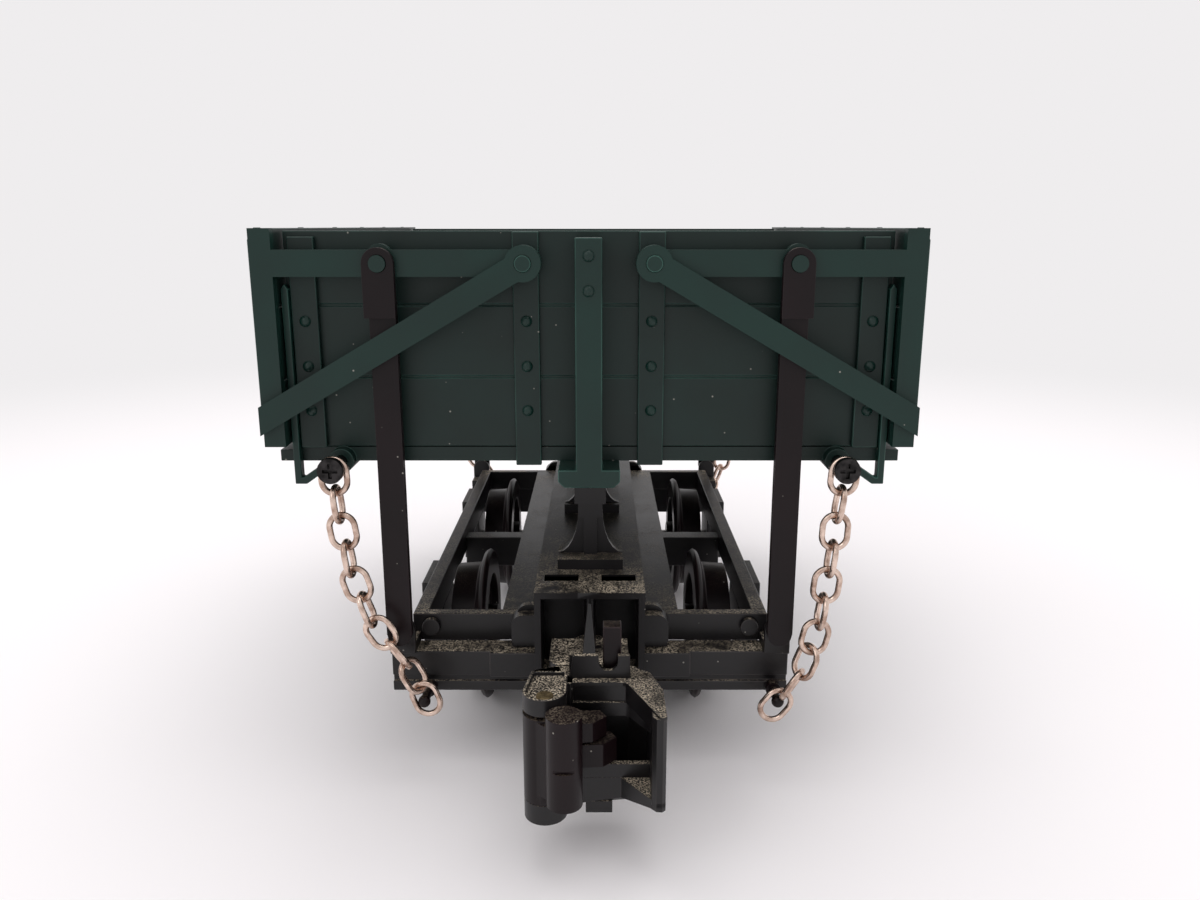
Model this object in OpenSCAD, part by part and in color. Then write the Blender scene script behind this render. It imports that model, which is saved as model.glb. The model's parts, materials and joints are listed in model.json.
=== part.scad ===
// Four-wheel side-dump railway car for 45 mm track.
// A boarded body tips to either side on a lengthwise shaft, and link bars lift the lower door.
// +X is the right side, -Y the front end, Z = 0 the plane that the wheel flanges stand on.

/* [Wheels] */
// Track gauge, between the rail heads
gauge = 45; // [40:0.5:54]
// Diameter of the wheel tread
tread_dia = 24; // [19:0.5:29]
// Height of the flange beyond the tread
flange_height = 3; // [2:0.1:4]
// Diameter of an axle
axle_dia = 3; // [2.2:0.1:4]
// Distance from the end beam to the nearest axle
axle_inset = 23.05; // [22:0.05:30]

/* [Frame] */
// Width over the side rails
frame_width = 63; // [58:0.5:78]
// Height of the frame's top above the axles
rail_rise = 11.7; // [10:0.1:15]
// Depth of a side rail
rail_depth = 5.5; // [4:0.1:7]
// Thickness of a side rail
rail_wall = 2.6; // [2:0.1:4]
// Width of the flat centre plate
plate_width = 31.4; // [26:0.1:33]
// Width of the raised centre ridge
ridge_width = 18.8; // [17:0.1:22]
// Height of the centre ridge above the frame's top
ridge_height = 7; // [5:0.1:9]
// How far the end beam sits inside the body's end wall
frame_setback = 3.9; // [3:0.1:6]

/* [Body] */
// Length over the end walls
body_length = 109; // [88:1:140]
// Width of the floor
floor_width = 102.6; // [86:0.2:124]
// Thickness of the floor
floor_thick = 2.5; // [2:0.1:4]
// Thickness of an end wall
wall_thick = 2.6; // [2:0.1:4]
// Height of one board
board_height = 11.6; // [9.5:0.1:14]
// Boards in each wall
boards = 3; // [2:1:4]
// Width of a batten
batten_width = 4.2; // [3:0.1:5.5]

/* [Tipping gear] */
// Diameter of the tipping shaft
shaft_dia = 2.6; // [2:0.1:3.4]
// Height of the tipping shaft above the centre ridge
shaft_rise = 16.3; // [14:0.1:20]
// Distance of a link bar from the car's centre line
link_x = 32.3; // [29:0.1:38]
// Width of a link bar
link_width = 4.2; // [3.4:0.1:4.8]
// Distance of a door's pivot from the car's centre line
pivot_x = 10.1; // [8:0.1:13]
// Diameter of the door pins
pin_dia = 2.6; // [2:0.1:3]
// Height of a door arm
arm_height = 4.1; // [3.2:0.1:4.8]

/* [Chains] */
// Diameter of the chain wire
wire_dia = 1; // [0.8:0.05:1.2]
// Outer length of a chain ring
ring_length = 6.7; // [6:0.1:8]
// Outer width of a chain ring
ring_width = 5.1; // [4.6:0.1:6]

/* [Couplers] */
// Diameter of the knuckle's hinge pin
knuckle_pin_dia = 1.6; // [1.2:0.1:2]
// Width of the square lift pin
lift_pin_width = 2.8; // [2.2:0.1:3.2]

/* [Hidden] */

$fn = 40;
EPS = 0.01;             // how far a cut runs past the face that it opens
running_gap = 0.05;     // radial clearance of a pin or shaft in its bore
side_gap = 0.3;         // clearance between pieces that slide past each other

green = [0.16, 0.31, 0.27];
black = [0.17, 0.16, 0.17];
steel = [0.74, 0.66, 0.58];

// Heights
axle_z = tread_dia / 2 + flange_height;
frame_top = axle_z + rail_rise;
rail_bottom = frame_top - rail_depth;
ridge_top = frame_top + ridge_height;
shaft_z = ridge_top + shaft_rise;
floor_z = shaft_z + 5.7;
floor_top = floor_z + floor_thick;
wall_top = floor_top + boards * board_height;
arm_z = wall_top - 4.9;
link_foot_z = frame_top - 0.6;

// Places along the car, measured outward from its middle
body_end = body_length / 2;
beam_end = body_end - frame_setback;
beam_thick = 2.2;
buffer_end = beam_end + 4.7;
pocket_end = beam_end + 7.6;
pocket_depth = 10.4;
axle_y = beam_end - axle_inset;
batten_thick = 1.1;
arm_back = body_end + 2.7;
arm_thick = 1.5;
brace_back = arm_back + arm_thick;
brace_front = brace_back + 1.6;
link_back = body_end + 2.3;
link_thick = brace_back - side_gap - link_back;
plate_back = brace_back + side_gap;
chain_y = brace_front + 0.9;
strap_front = link_back - 0.4;
swing_y = pocket_end - 6.2;
swing_pin_dia = 2;

// Places across the car
wall_half = floor_width / 2 - 3;
door_inner = wall_half + 0.6;
door_thick = 2.9;
door_outer = door_inner + door_thick;
stake_thick = 1.2;
screw_x = wall_half - 7.5;
screw_z = floor_z + 0.4;
post_half = 2.1;
side_batten_x = wall_half - 0.9 - batten_width / 2;
buffer_half = link_x + 2.2;
rail_half = frame_width / 2;
rivet_heights = [for (k = [0 : 2]) floor_top + 6.2 + 7.25 * k];

// Chains: the lean of each ring from straight down toward the car's centre, top ring first
left_leans = [2, 6, 8, 8, 17, 20, 33, 36, 28, 21];
right_leans = [4, 8, 2, 7, 6, 8, 13, 20, 32, 38];
ring_twists = [0, 90, 0, 90, 0, 90, 0, 60, 120, 180];
ring_play = 0.05;
ring_pitch = ring_length - 2 * wire_dia - ring_play;
screw_dia = 2;
ring_drop = (ring_length - screw_dia) / 2 - wire_dia - running_gap;
last_upper = 5;
function leans(side) = side < 0 ? left_leans : right_leans;
function ring_way(side, i) = [-side * sin(leans(side)[i]), -cos(leans(side)[i])];
function ring_centre(side, i) = i == 0
    ? [side * screw_x, screw_z] + ring_drop * ring_way(side, 0)
    : ring_centre(side, i - 1) + ring_pitch / 2 * (ring_way(side, i - 1) + ring_way(side, i));

// Draws a front-end part at the front for end = 0 and turned to the rear for end = 1
module at_end(end) { rotate([0, 0, 180 * end]) children(); }

// A cylinder along Y, from y0 to y1
module bar_y(x, z, dia, y0, y1) {
    translate([x, y1, z]) rotate([90, 0, 0]) cylinder(d = dia, h = y1 - y0);
}

// A block by its low and high corners
module block(low, high) { translate(low) cube(high - low); }

// An X-Z outline given a thickness from y0 to y1
module plate_y(y0, y1) {
    translate([0, y1, 0]) rotate([90, 0, 0]) linear_extrude(y1 - y0) children();
}

// A straight strip with round ends between two points
module strip(a, b, width) {
    way = b - a;
    translate(a) rotate(atan2(way[1], way[0])) translate([0, -width / 2]) square([norm(way), width]);
    for (p = [a, b]) translate(p) circle(d = width);
}

// ---- Frame ----

module centre_sill() {
    color(black) {
        difference() {
            union() {
                block([-plate_width / 2, -(beam_end - beam_thick), frame_top - 1.6],
                    [plate_width / 2, beam_end - beam_thick, frame_top]);
                block([-ridge_width / 2, -pocket_end, frame_top - 1.6],
                    [ridge_width / 2, pocket_end, ridge_top]);
                for (end = [0, 1]) at_end(end) block([-ridge_width / 2, -pocket_end, axle_z + 1.1],
                    [ridge_width / 2, pocket_depth - pocket_end, ridge_top]);
            }
            sill_hollow();
            for (end = [0, 1]) at_end(end) coupler_pocket();
        }
        for (end = [0, 1]) at_end(end) pocket_lugs();
    }
}

// The space under the ridge, between the two coupler pockets
module sill_hollow() {
    inner = pocket_end - pocket_depth - 1;
    block([1.6 - ridge_width / 2, -inner, 0], [ridge_width / 2 - 1.6, inner, ridge_top - 1.6]);
}

// The open-fronted pocket for the coupler's shank, with its two top slots and pin holes
module coupler_pocket() {
    block([1.1 - ridge_width / 2, -pocket_end - 1, axle_z + 2.2],
        [ridge_width / 2 - 1.1, pocket_depth - 1.1 - pocket_end, ridge_top - 1.1]);
    for (side = [-1, 1]) translate([side * 5 - 3, -beam_end, ridge_top - 2]) cube([6, 1, 3]);
    translate([0, -swing_y, 0]) cylinder(d = swing_pin_dia, h = ridge_top - 0.4);
}

// Rounded lugs that stand beside the pocket in front of the end beam
module pocket_lugs() {
    for (side = [-1, 1])
        plate_y(-(beam_end + 3.4), -(beam_end + EPS))
            intersection() {
                translate([side * ridge_width / 2, frame_top - 4.7]) circle(r = 4.2);
                translate([side > 0 ? ridge_width / 2 : -ridge_width / 2 - 5, frame_top - 4.7])
                    square([5, 5]);
            }
}

module side_rail(side) {
    color(black)
        block([side > 0 ? rail_half - rail_wall : -rail_half, beam_thick - beam_end, rail_bottom],
            [side > 0 ? rail_half : rail_wall - rail_half, beam_end - beam_thick, frame_top]);
}

// A cylinder along X through the whole car, used for axles and their holes
module bar_x(z, y, dia, half = 60) {
    translate([-half, -y, z]) rotate([0, 90, 0]) cylinder(d = dia, h = 2 * half);
}

module end_beam(end) {
    color(black) at_end(end) difference() {
        block([-rail_half, -beam_end, frame_top - 5], [rail_half, beam_thick - beam_end, frame_top]);
        block([-ridge_width / 2, -beam_end - 1, 0], [ridge_width / 2, 0, ridge_top]);
    }
}

module buffer_beam(end) {
    top = frame_top - 5;
    bottom = axle_z - 0.7;
    color(black) at_end(end) difference() {
        union() {
            block([-buffer_half, -buffer_end, bottom], [buffer_half, -beam_end, bottom + 1.8]);
            block([-buffer_half, 0.6 - buffer_end, bottom + 1.8], [buffer_half, -beam_end, bottom + 2.9]);
            block([-buffer_half, -buffer_end, bottom + 2.9], [buffer_half, -beam_end, top]);
            block([-17.4, -buffer_end - 0.8, bottom + 2.9], [17.4, -beam_end, top]);
        }
        block([-ridge_width / 2, -buffer_end - 2, axle_z + 1.1], [ridge_width / 2, 0, ridge_top]);
    }
}

module cross_beam() {
    inner = rail_half - rail_wall;
    color(black) {
        block([-inner, -2.1, frame_top - 9], [inner, 2.1, frame_top - 2.2]);
        block([-ridge_width / 2, -2.1, frame_top - 3], [ridge_width / 2, 2.1, frame_top - 1.6]);
    }
}

module journal_boxes() {
    low = axle_z - 4.6;
    color(black) difference() {
        for (end = [0, 1]) at_end(end) for (side = [0, 1]) mirror([side, 0, 0]) translate([0, -axle_y, 0]) {
            block([rail_half - rail_wall, -6.5, axle_z - 1.5], [rail_half + 1.5, 6.5, rail_bottom]);
            block([rail_half - rail_wall, -4, low], [rail_half + 1.5, 4, axle_z - 1.5]);
            block([rail_half, -6.5, axle_z - 1.5], [rail_half + 1.5, 6.5, frame_top - 0.7]);
            translate([rail_half + 1.5, 0, axle_z]) rotate([0, 90, 0]) cylinder(d = 5, h = 1);
        }
        for (end = [0, 1]) at_end(end) bar_x(axle_z, axle_y, axle_dia + 2 * running_gap, rail_half + 0.3);
    }
}

// Half width of a pedestal's web at its foot, how far it narrows, and the height that it narrows over
web_foot = 5.9;
web_inset = 3.7;
web_rise = 7.9;

// A flared web on a base, with a bored cap that carries the tipping shaft
module pedestal(length, webs) {
    half = length / 2;
    neck = [for (a = [0 : 15 : 90]) [web_foot - web_inset * sin(a), web_rise * (1 - cos(a))]];
    color(black) difference() {
        translate([0, 0, ridge_top]) {
            block([-5.85, -half, 0], [5.85, half, 1.9]);
            for (y = webs) translate([0, y, 1.9]) {
                plate_y(-0.6, 0.6) polygon(concat(neck, [for (k = [len(neck) - 1 : -1 : 0])
                    [-neck[k][0], neck[k][1]]]));
                block([-1.2, -1.5, 0], [1.2, 1.5, 9]);
                block([-2.2, -1.5, 7], [2.2, 1.5, 10]);
                block([-2.8, -2.6, 9.8], [2.8, 2.6, 13.4]);
                block([-2.4, -2, 13.4], [2.4, 2, shaft_rise + 0.7]);
            }
        }
        bar_y(0, shaft_z, shaft_dia + 2 * running_gap, -body_end, body_end);
    }
}

pedestal_inset = 8;
pedestal_y = beam_end - pedestal_inset;
centre_pedestal_length = 25.6;

// Upright plates at the frame's corners, just behind the feet of the link bars
module link_seats() {
    color(black) for (end = [0, 1]) at_end(end) for (side = [-1, 1]) translate([side * link_x, 0, 0]) {
        block([-2.2, -(link_back - 0.4), frame_top - 5], [2.2, -beam_end, frame_top - 3.2]);
        block([-2.2, -(link_back - 0.4), frame_top - 5], [2.2, 1.2 - (link_back - 0.4), frame_top - 0.6]);
        bar_y(0, link_foot_z, 4.4, -(link_back - 0.4), 1.2 - (link_back - 0.4));
    }
}

// Pins under the frame's corners, with a ball end behind the last ring of each chain,
// clear of the rings' swing
module chain_hooks() {
    tip = chain_y - ring_width / 2;
    color(black) for (end = [0, 1]) for (side = [-1, 1]) {
        last = hook_place(side);
        mirror([0, end, 0]) {
            bar_y(last[0], last[1], 1.6, -tip + 1, -buffer_end);
            translate([last[0], -tip + 1.2, last[1]]) sphere(d = 2.4);
        }
    }
}

// Where the last ring of a chain is held, with the pin just inside its lower end
function hook_place(side) = [ring_centre(side, 9)[0] + 0.4 * side, axle_z + 0.2];

module frame_bolts() {
    color(black) for (end = [0, 1]) at_end(end) for (side = [-1, 1])
        bar_y(side * (rail_half - 3.3), frame_top - 2.2, 3.2, -beam_end - 1.1, -beam_end);
}

module coupler_pins() {
    low = axle_z + 1.1;
    color(black) for (end = [0, 1]) at_end(end)
        translate([0, -swing_y, low]) cylinder(d = swing_pin_dia, h = ridge_top - 0.4 - low);
}

// ---- Wheels ----

module axle(end) {
    color(steel) at_end(end) bar_x(axle_z, axle_y, axle_dia, rail_half);
}

module wheels(end) {
    back = gauge / 2 - 2.5;
    color(black) at_end(end) for (side = [0, 1]) mirror([side, 0, 0])
        translate([back, -axle_y, axle_z]) rotate([90, 0, 90]) wheel();
}

// One wheel standing on its back face, flange first, with a dished web and a hub
module wheel() {
    flange = tread_dia / 2 + flange_height;
    tread = tread_dia / 2;
    rotate_extrude($fn = 72) polygon([[axle_dia / 2, -1], [axle_dia / 2 + 2.2, -1], [axle_dia / 2 + 2.2, 1.6],
        [tread - 2, 1.6], [tread - 2, 0], [flange - 0.6, 0], [flange, 0.7], [flange - 0.5, 1.5],
        [tread + 0.3, 2.3], [tread, 6.9], [tread - 2, 6.9], [tread - 2.6, 3.6],
        [axle_dia / 2 + 2.2, 3.6], [axle_dia / 2 + 1.8, 7.4], [axle_dia / 2, 7.4]]);
}

// ---- Couplers ----

head_back = 14;         // from the pocket's mouth to the back of the head
throat_back = 18.6;     // from the pocket's mouth to the back of the throat
guard_tip = 28.8;       // from the pocket's mouth to the end of the guard arm
barrel = [-6.3, -(pocket_end + 24.1)];
barrel_dia = 6.4;
nose = [-3.3, -(pocket_end + 29.2)];
head_top = frame_top + 1.8;
head_bottom = axle_z - 2.9;
jaw_low = head_bottom + 4.5;
jaw_high = head_top - 3;
lug_thick = 3.2;
lift_place = [3.6, -(pocket_end + 15.2)];

// A point on the head, outward from the pocket's mouth
function head_point(x, out) = [x, -(pocket_end + out)];

module coupler_head(end) {
    color(black) at_end(end) difference() {
        union() {
            shank();
            translate([0, 0, head_bottom]) linear_extrude(head_top - head_bottom) back_wall();
            translate([0, 0, head_bottom + 3]) linear_extrude(head_top + 1 - head_bottom - 3) lift_housing();
            for (z = [head_bottom - 3.6, head_top - lug_thick]) translate([0, 0, z])
                linear_extrude(lug_thick) lug_outline();
            translate([0, 0, head_bottom - 3.6]) linear_extrude(4.6) lug_root();
            translate([0, 0, jaw_low - EPS]) linear_extrude(jaw_high - jaw_low + 2 * EPS) guard_arm();
            translate([0, 0, jaw_high]) linear_extrude(1.7) jaw_outline(20.4);
            translate([0, 0, head_bottom]) linear_extrude(jaw_low - head_bottom) jaw_outline(24);
            block([0.4, barrel[1] + 1, head_bottom - 0.7], [3.2, barrel[1] + 4, head_bottom]);
        }
        translate([barrel[0], barrel[1], head_bottom - 5]) cylinder(d = knuckle_pin_dia, h = 30);
        lift_pin_hole();
        translate([0, -swing_y, 0]) cylinder(d = swing_pin_dia + 2 * running_gap, h = ridge_top + 1);
        translate([barrel[0], barrel[1], head_bottom - 0.4 - side_gap])
            cylinder(d = barrel_dia + 1, h = head_top - lug_thick - head_bottom + 0.4 + 2 * side_gap);
    }
}

// The drawbar from the pocket to the head, with a round-nosed plate on top
module shank() {
    block([-2.8, -(pocket_end + head_back + 1), axle_z + 3], [2.8, -swing_y, frame_top + 1.6]);
    translate([0, 0, frame_top + 1.6]) linear_extrude(1.4) {
        translate([0, -swing_y]) circle(d = 5.6);
        translate([-2.8, -pocket_end - 3]) square([5.6, pocket_end + 3 - swing_y]);
        translate([0, -pocket_end - 4]) circle(d = 12.2);
    }
    translate([0, -swing_y, axle_z + 3]) cylinder(d = 5.6, h = frame_top - 1.4 - axle_z);
    hull() {
        block([-0.7, -pocket_end - 8, frame_top + 2.5], [0.7, -pocket_end - 7, frame_top + 3.2]);
        block([-1.1, -pocket_end, frame_top + 2.5], [1.1, 1 - pocket_end, frame_top + 5]);
    }
}

// The wall behind the throat, seen from above
module back_wall() {
    polygon([head_point(-4.6, head_back), head_point(6.6, head_back), head_point(9.6, throat_back - 2),
        head_point(9.6, throat_back), head_point(-9, throat_back), head_point(-9, throat_back - 2)]);
}

// The ears above and below the knuckle
module lug_outline() {
    translate(barrel) circle(d = barrel_dia);
    polygon([[barrel[0] - barrel_dia / 2, barrel[1]], [barrel[0] + barrel_dia / 2, barrel[1]],
        head_point(-2, throat_back - 1), head_point(-9.2, throat_back - 1)]);
}

// Where the lower ear joins the back wall, clear of the knuckle
module lug_root() {
    polygon([head_point(-9.2, throat_back + 1.4), head_point(-2, throat_back + 1.4),
        head_point(-2, throat_back - 1), head_point(-9.2, throat_back - 1)]);
}

// The arm that guides the other car's knuckle in
module guard_arm() {
    polygon([head_point(7.4, throat_back), head_point(9.6, throat_back - 2),
        head_point(11.3, throat_back + 3),
        head_point(11.3, guard_tip - 1), head_point(10.6, guard_tip), head_point(9.4, guard_tip - 0.6),
        head_point(9.2, throat_back + 2.4)]);
}

// The plates above and below the throat, whose front edge slants out to the guard arm's tip
module jaw_outline(front) {
    polygon([head_point(-3, throat_back - 1), head_point(9.6, throat_back - 2),
        head_point(11.3, throat_back + 3), head_point(11.3, guard_tip - 1), head_point(10.6, guard_tip),
        head_point(9.4, guard_tip - 0.6), head_point(6.8, front), head_point(-1.4, front - 0.4),
        head_point(-3, front - 1.6)]);
}

// The thicker wall around the lift pin
module lift_housing() {
    polygon([head_point(-1.9, head_back - 0.8), head_point(6.9, head_back - 0.8),
        head_point(7.2, throat_back), head_point(-2.2, throat_back)]);
}

module lift_pin_hole() {
    gap = lift_pin_width + 2 * running_gap;
    translate([lift_place[0] - gap / 2, lift_place[1] - gap / 2, head_top - 8]) cube([gap, gap, 20]);
}

module knuckle(end) {
    low = head_bottom - 0.4;
    high = head_top - lug_thick;
    color(black) at_end(end) difference() {
        union() {
            translate([barrel[0], barrel[1], low]) cylinder(d = barrel_dia, h = high - low);
            translate([nose[0], nose[1], low + 1.8]) cylinder(d = 5.2, h = high - low + 0.3);
            translate([0, 0, low + 1.8]) linear_extrude(high - low - 2.1) knuckle_web();
            translate([0, 0, jaw_low + 0.4]) linear_extrude(3.6) knuckle_tail(10.5);
            translate([0, 0, jaw_low + 4.4]) linear_extrude(3) knuckle_tail(9);
        }
        translate([barrel[0], barrel[1], 0]) cylinder(d = knuckle_pin_dia + 2 * running_gap, h = 60);
        translate([nose[0] - 4, nose[1] - 4, (low + high) / 2 + 1]) cube([8, 1.9, 0.6]);
    }
}

module knuckle_web() {
    polygon([barrel + [-2.6, -1.6], barrel + [2.4, 1.6], nose + [2.4, 0.8], nose + [-2.4, 0.6]]);
}

// The lock's tooth behind the knuckle, pointed at its end
module knuckle_tail(reach) {
    polygon([barrel + [1, -2], barrel + [1, 2.4], barrel + [reach - 1, 2.4], barrel + [reach, 0.6],
        barrel + [reach - 2, -1.4]]);
}

module knuckle_pin(end) {
    color(black) at_end(end) translate([barrel[0], barrel[1], head_bottom - 3.6]) {
        cylinder(d = knuckle_pin_dia, h = head_top - head_bottom + 3.6);
        translate([0, 0, head_top - head_bottom + 3.6]) cylinder(d = 2.6, h = 0.5);
    }
}

module lift_pin(end) {
    color(black) at_end(end) translate([lift_place[0], lift_place[1], head_top - 7.6])
        translate([-lift_pin_width / 2, -lift_pin_width / 2, 0])
            cube([lift_pin_width, lift_pin_width, 14]);
}

// ---- Body ----

module tipping_shaft() {
    half = pedestal_y + 4;
    color(steel) bar_y(0, shaft_z, shaft_dia, -half, half);
}

hanger_places = [-1, -0.5, 0.5, 1] * (pedestal_y - 6.6);

// Bored plates under the floor that ride on the tipping shaft
module shaft_hangers() {
    color(black) difference() {
        for (y = hanger_places) {
            block([-4, y - 1.3, shaft_z], [4, y + 1.3, floor_z]);
            bar_y(0, shaft_z, 8, y - 1.3, y + 1.3);
        }
        bar_y(0, shaft_z, shaft_dia + 2 * running_gap, -body_end, body_end);
    }
}

module body_floor() {
    half = floor_width / 2;
    color(green) difference() {
        union() {
            block([-half, -body_end, floor_z], [half, body_end, floor_top]);
            for (end = [0, 1]) at_end(end) for (side = [-1, 1])
                bar_y(side * screw_x, screw_z, 4.1, -strap_front, 4 - body_end);
        }
        for (end = [0, 1]) at_end(end) for (side = [-1, 1])
            bar_y(side * screw_x, screw_z, screw_dia, -strap_front - 1, 3.6 - body_end);
        plank_grooves(-half - 1, half + 1, floor_top - 0.3);
        for (side = [0, 1]) mirror([side, 0, 0])
            block([wall_half, -body_end - 1, floor_top - ledge_drop],
                [half + 1, body_end + 1, floor_top + 1]);
    }
}

// How much lower the floor is under the doors
ledge_drop = 0.6;

// Grooves across the floor between its planks
module plank_grooves(x0, x1, z) {
    inner = body_end - wall_thick;
    for (k = [1 : 8]) translate([x0, -inner + k * inner * 2 / 9 - 0.15, z]) cube([x1 - x0, 0.3, 1]);
}

module end_wall(end) {
    color(green) at_end(end) difference() {
        block([-wall_half, -body_end, floor_top], [wall_half, wall_thick - body_end, wall_top]);
        for (k = [1 : boards - 1]) for (y = [-body_end, wall_thick - body_end])
            translate([-wall_half - 1, y - 0.3, floor_top + k * board_height - 0.2])
                cube([2 * wall_half + 2, 0.6, 0.4]);
    }
}

module battens(end) {
    front = body_end + batten_thick;
    color(green) at_end(end) for (side = [-1, 1]) {
        translate([side * 10, 0, 0])
            block([-batten_width / 2, -front, floor_z - 0.5], [batten_width / 2, -body_end, wall_top - 0.1]);
        translate([side * side_batten_x, 0, 0])
            block([-batten_width / 2, -front, floor_top], [batten_width / 2, -body_end, wall_top - 0.9]);
    }
}

post_front = brace_front + 0.7;

module centre_post(end) {
    color(green) at_end(end) {
        block([-post_half, -post_front, floor_z - 0.2], [post_half, -body_end, wall_top - 1]);
        plate_y(-post_front, -(body_end - 3)) difference() {
            translate([0, floor_z - 1.45]) square([10, 2.9], center = true);
            for (side = [-1, 1]) translate([side * 5, floor_z - 2.9]) rotate(45)
                square(1.4, center = true);
        }
    }
}

// Fins at the body's corners, with a strip that runs in to the chain screw
module corner_straps() {
    outer = wall_half + 0.3;
    low = floor_z - 3.5;
    color(green) for (end = [0, 1]) at_end(end) for (side = [0, 1]) mirror([side, 0, 0])
        plate_y(-strap_front, -body_end) {
            polygon([[outer - 1.1, low], [outer, low], [outer, wall_top - 9], [outer - 0.55, wall_top - 8.2],
                [outer - 1.1, wall_top - 9]]);
            polygon([[outer, low], [outer, low + 1.1], [outer - 1.4, low + 1.1], [screw_x + 2.9, floor_z],
                [screw_x + 2.2, floor_z - 0.9], [outer - 1.9, low]]);
        }
}

// Half-round rivet heads on the battens and the centre posts
module rivets() {
    color(green) for (end = [0, 1]) at_end(end) {
        for (x = [10, side_batten_x]) for (side = [-1, 1]) for (z = rivet_heights)
            translate([side * x, -(body_end + batten_thick), z]) rivet_head();
        for (drop = [2.7, 8]) translate([0, -post_front, wall_top - 1 - drop]) rivet_head();
    }
}

module rivet_head() {
    rotate([90, 0, 0]) rotate_extrude() intersection() {
        translate([0, -0.35]) circle(r = 1);
        square([1, 1]);
    }
}

module chain_screws() {
    head_y = chain_y + wire_dia / 2 + side_gap;
    color(black) for (end = [0, 1]) at_end(end) for (side = [-1, 1]) {
        bar_y(side * screw_x, screw_z, screw_dia, -head_y, 3.6 - body_end);
        difference() {
            bar_y(side * screw_x, screw_z, 4.1, -head_y - 1.2, -head_y);
            for (turn = [0, 90]) translate([side * screw_x, -head_y - 1.2, screw_z]) rotate([0, turn, 0])
                cube([2.4, 1.2, 0.6], center = true);
        }
    }
}

module arm_pivot_pins() {
    color(green) for (end = [0, 1]) at_end(end) for (side = [-1, 1]) {
        bar_y(side * pivot_x, arm_z, pin_dia, -brace_front - 0.3, -(body_end + batten_thick));
        bar_y(side * pivot_x, arm_z, 4.2, side_gap - arm_back, -(body_end + batten_thick));
    }
}

// ---- Doors ----

module door(side) {
    half = arm_back;
    color(green) mirror([side < 0 ? 1 : 0, 0, 0]) difference() {
        block([door_inner, -half, floor_top + 0.8], [door_outer, half, wall_top + 0.4]);
        for (k = [1 : boards - 1]) for (x = [door_inner, door_outer])
            translate([x - 0.3, -half - 1, floor_top + k * board_height - 0.2])
                cube([0.6, 2 * half + 2, 0.4]);
    }
}

// Upright stakes outside the planks, with chamfered ends
module door_stakes(side) {
    low = floor_top + 1;
    high = wall_top + 0.6;
    outer = door_outer + stake_thick;
    count = 6;
    color(green) mirror([side < 0 ? 1 : 0, 0, 0]) for (k = [0 : count - 1]) {
        y = (arm_back - 1.7) * (2 * k / (count - 1) - 1);
        plate_y(y - 1.7, y + 1.7)
            polygon([[door_outer, low], [outer, low + 2], [outer, high - 2], [door_outer, high]]);
    }
}

// The end of a door: an arm to its pivot, a post on the planks and a brace across the front
module door_arm(side, end) {
    post_out = door_outer + 0.5;
    color(green) mirror([side < 0 ? 1 : 0, 0, 0]) mirror([0, end, 0]) {
        difference() {
            union() {
                plate_y(-brace_back, -arm_back) {
                    translate([pivot_x, arm_z - arm_height / 2]) square([post_out - pivot_x, arm_height]);
                    translate([pivot_x, arm_z]) circle(d = 5.6);
                    translate([door_inner, floor_top + 0.8])
                        square([post_out - door_inner, wall_top - floor_top - 0.4]);
                    translate([link_x, arm_z + 1]) circle(d = 4);
                }
                plate_y(-brace_front, -brace_back) {
                    translate([pivot_x, arm_z]) circle(d = 5.6);
                    intersection() {
                        strip([pivot_x, arm_z], [door_outer + 4, floor_top + 3.2], 4);
                        square([post_out, wall_top]);
                    }
                }
            }
            bar_y(pivot_x, arm_z, pin_dia + 2 * running_gap, -brace_front - 1, -arm_back + 1);
        }
        bar_y(link_x, arm_z, pin_dia, -brace_front - 0.3, -brace_back);
    }
}

// ---- Link bars ----

module link_bar(side, end) {
    shift_low = arm_z - 8.3;
    shift_high = arm_z - 5.7;
    color(black) translate([side * link_x, 0, 0]) mirror([0, end, 0]) difference() {
        union() {
            block([-link_width / 2, -(link_back + link_thick), link_foot_z],
                [link_width / 2, -link_back, shift_high]);
            bar_y(0, link_foot_z, 4, -(link_back + link_thick), -link_back);
            block([-link_width / 2, -brace_front, shift_low],
                [link_width / 2, -(link_back + link_thick), shift_high]);
            plate_y(-brace_front, -plate_back) {
                translate([-2.45, shift_low]) square([4.9, 8.3]);
                translate([0, arm_z]) circle(d = 4.9);
            }
        }
        bar_y(0, arm_z, pin_dia + 2 * running_gap, -brace_front - 1, -link_back);
    }
}

// ---- Chains ----

// One oval ring lying in the X-Y plane, long along X
module ring() {
    arc = (ring_width - wire_dia) / 2;
    straight = ring_length - ring_width;
    for (turn = [0, 180]) rotate(turn) {
        translate([straight / 2, 0, 0]) rotate(-90) rotate_extrude(angle = 180, $fn = 32)
            translate([arc, 0]) circle(d = wire_dia, $fn = 16);
        translate([-straight / 2, arc, 0]) rotate([0, 90, 0]) cylinder(d = wire_dia, h = straight, $fn = 16);
    }
}

// Rings first to last of the two chains on one side
module chain(side, first, last) {
    color(steel) for (end = [0, 1]) mirror([0, end, 0]) for (i = [first : last]) {
        centre = ring_centre(side, i);
        way = ring_way(side, i);
        translate([centre[0], -chain_y, centre[1]]) rotate([0, -atan2(way[1], way[0]), 0])
            rotate([90 + ring_twists[i], 0, 0]) ring();
    }
}

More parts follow.
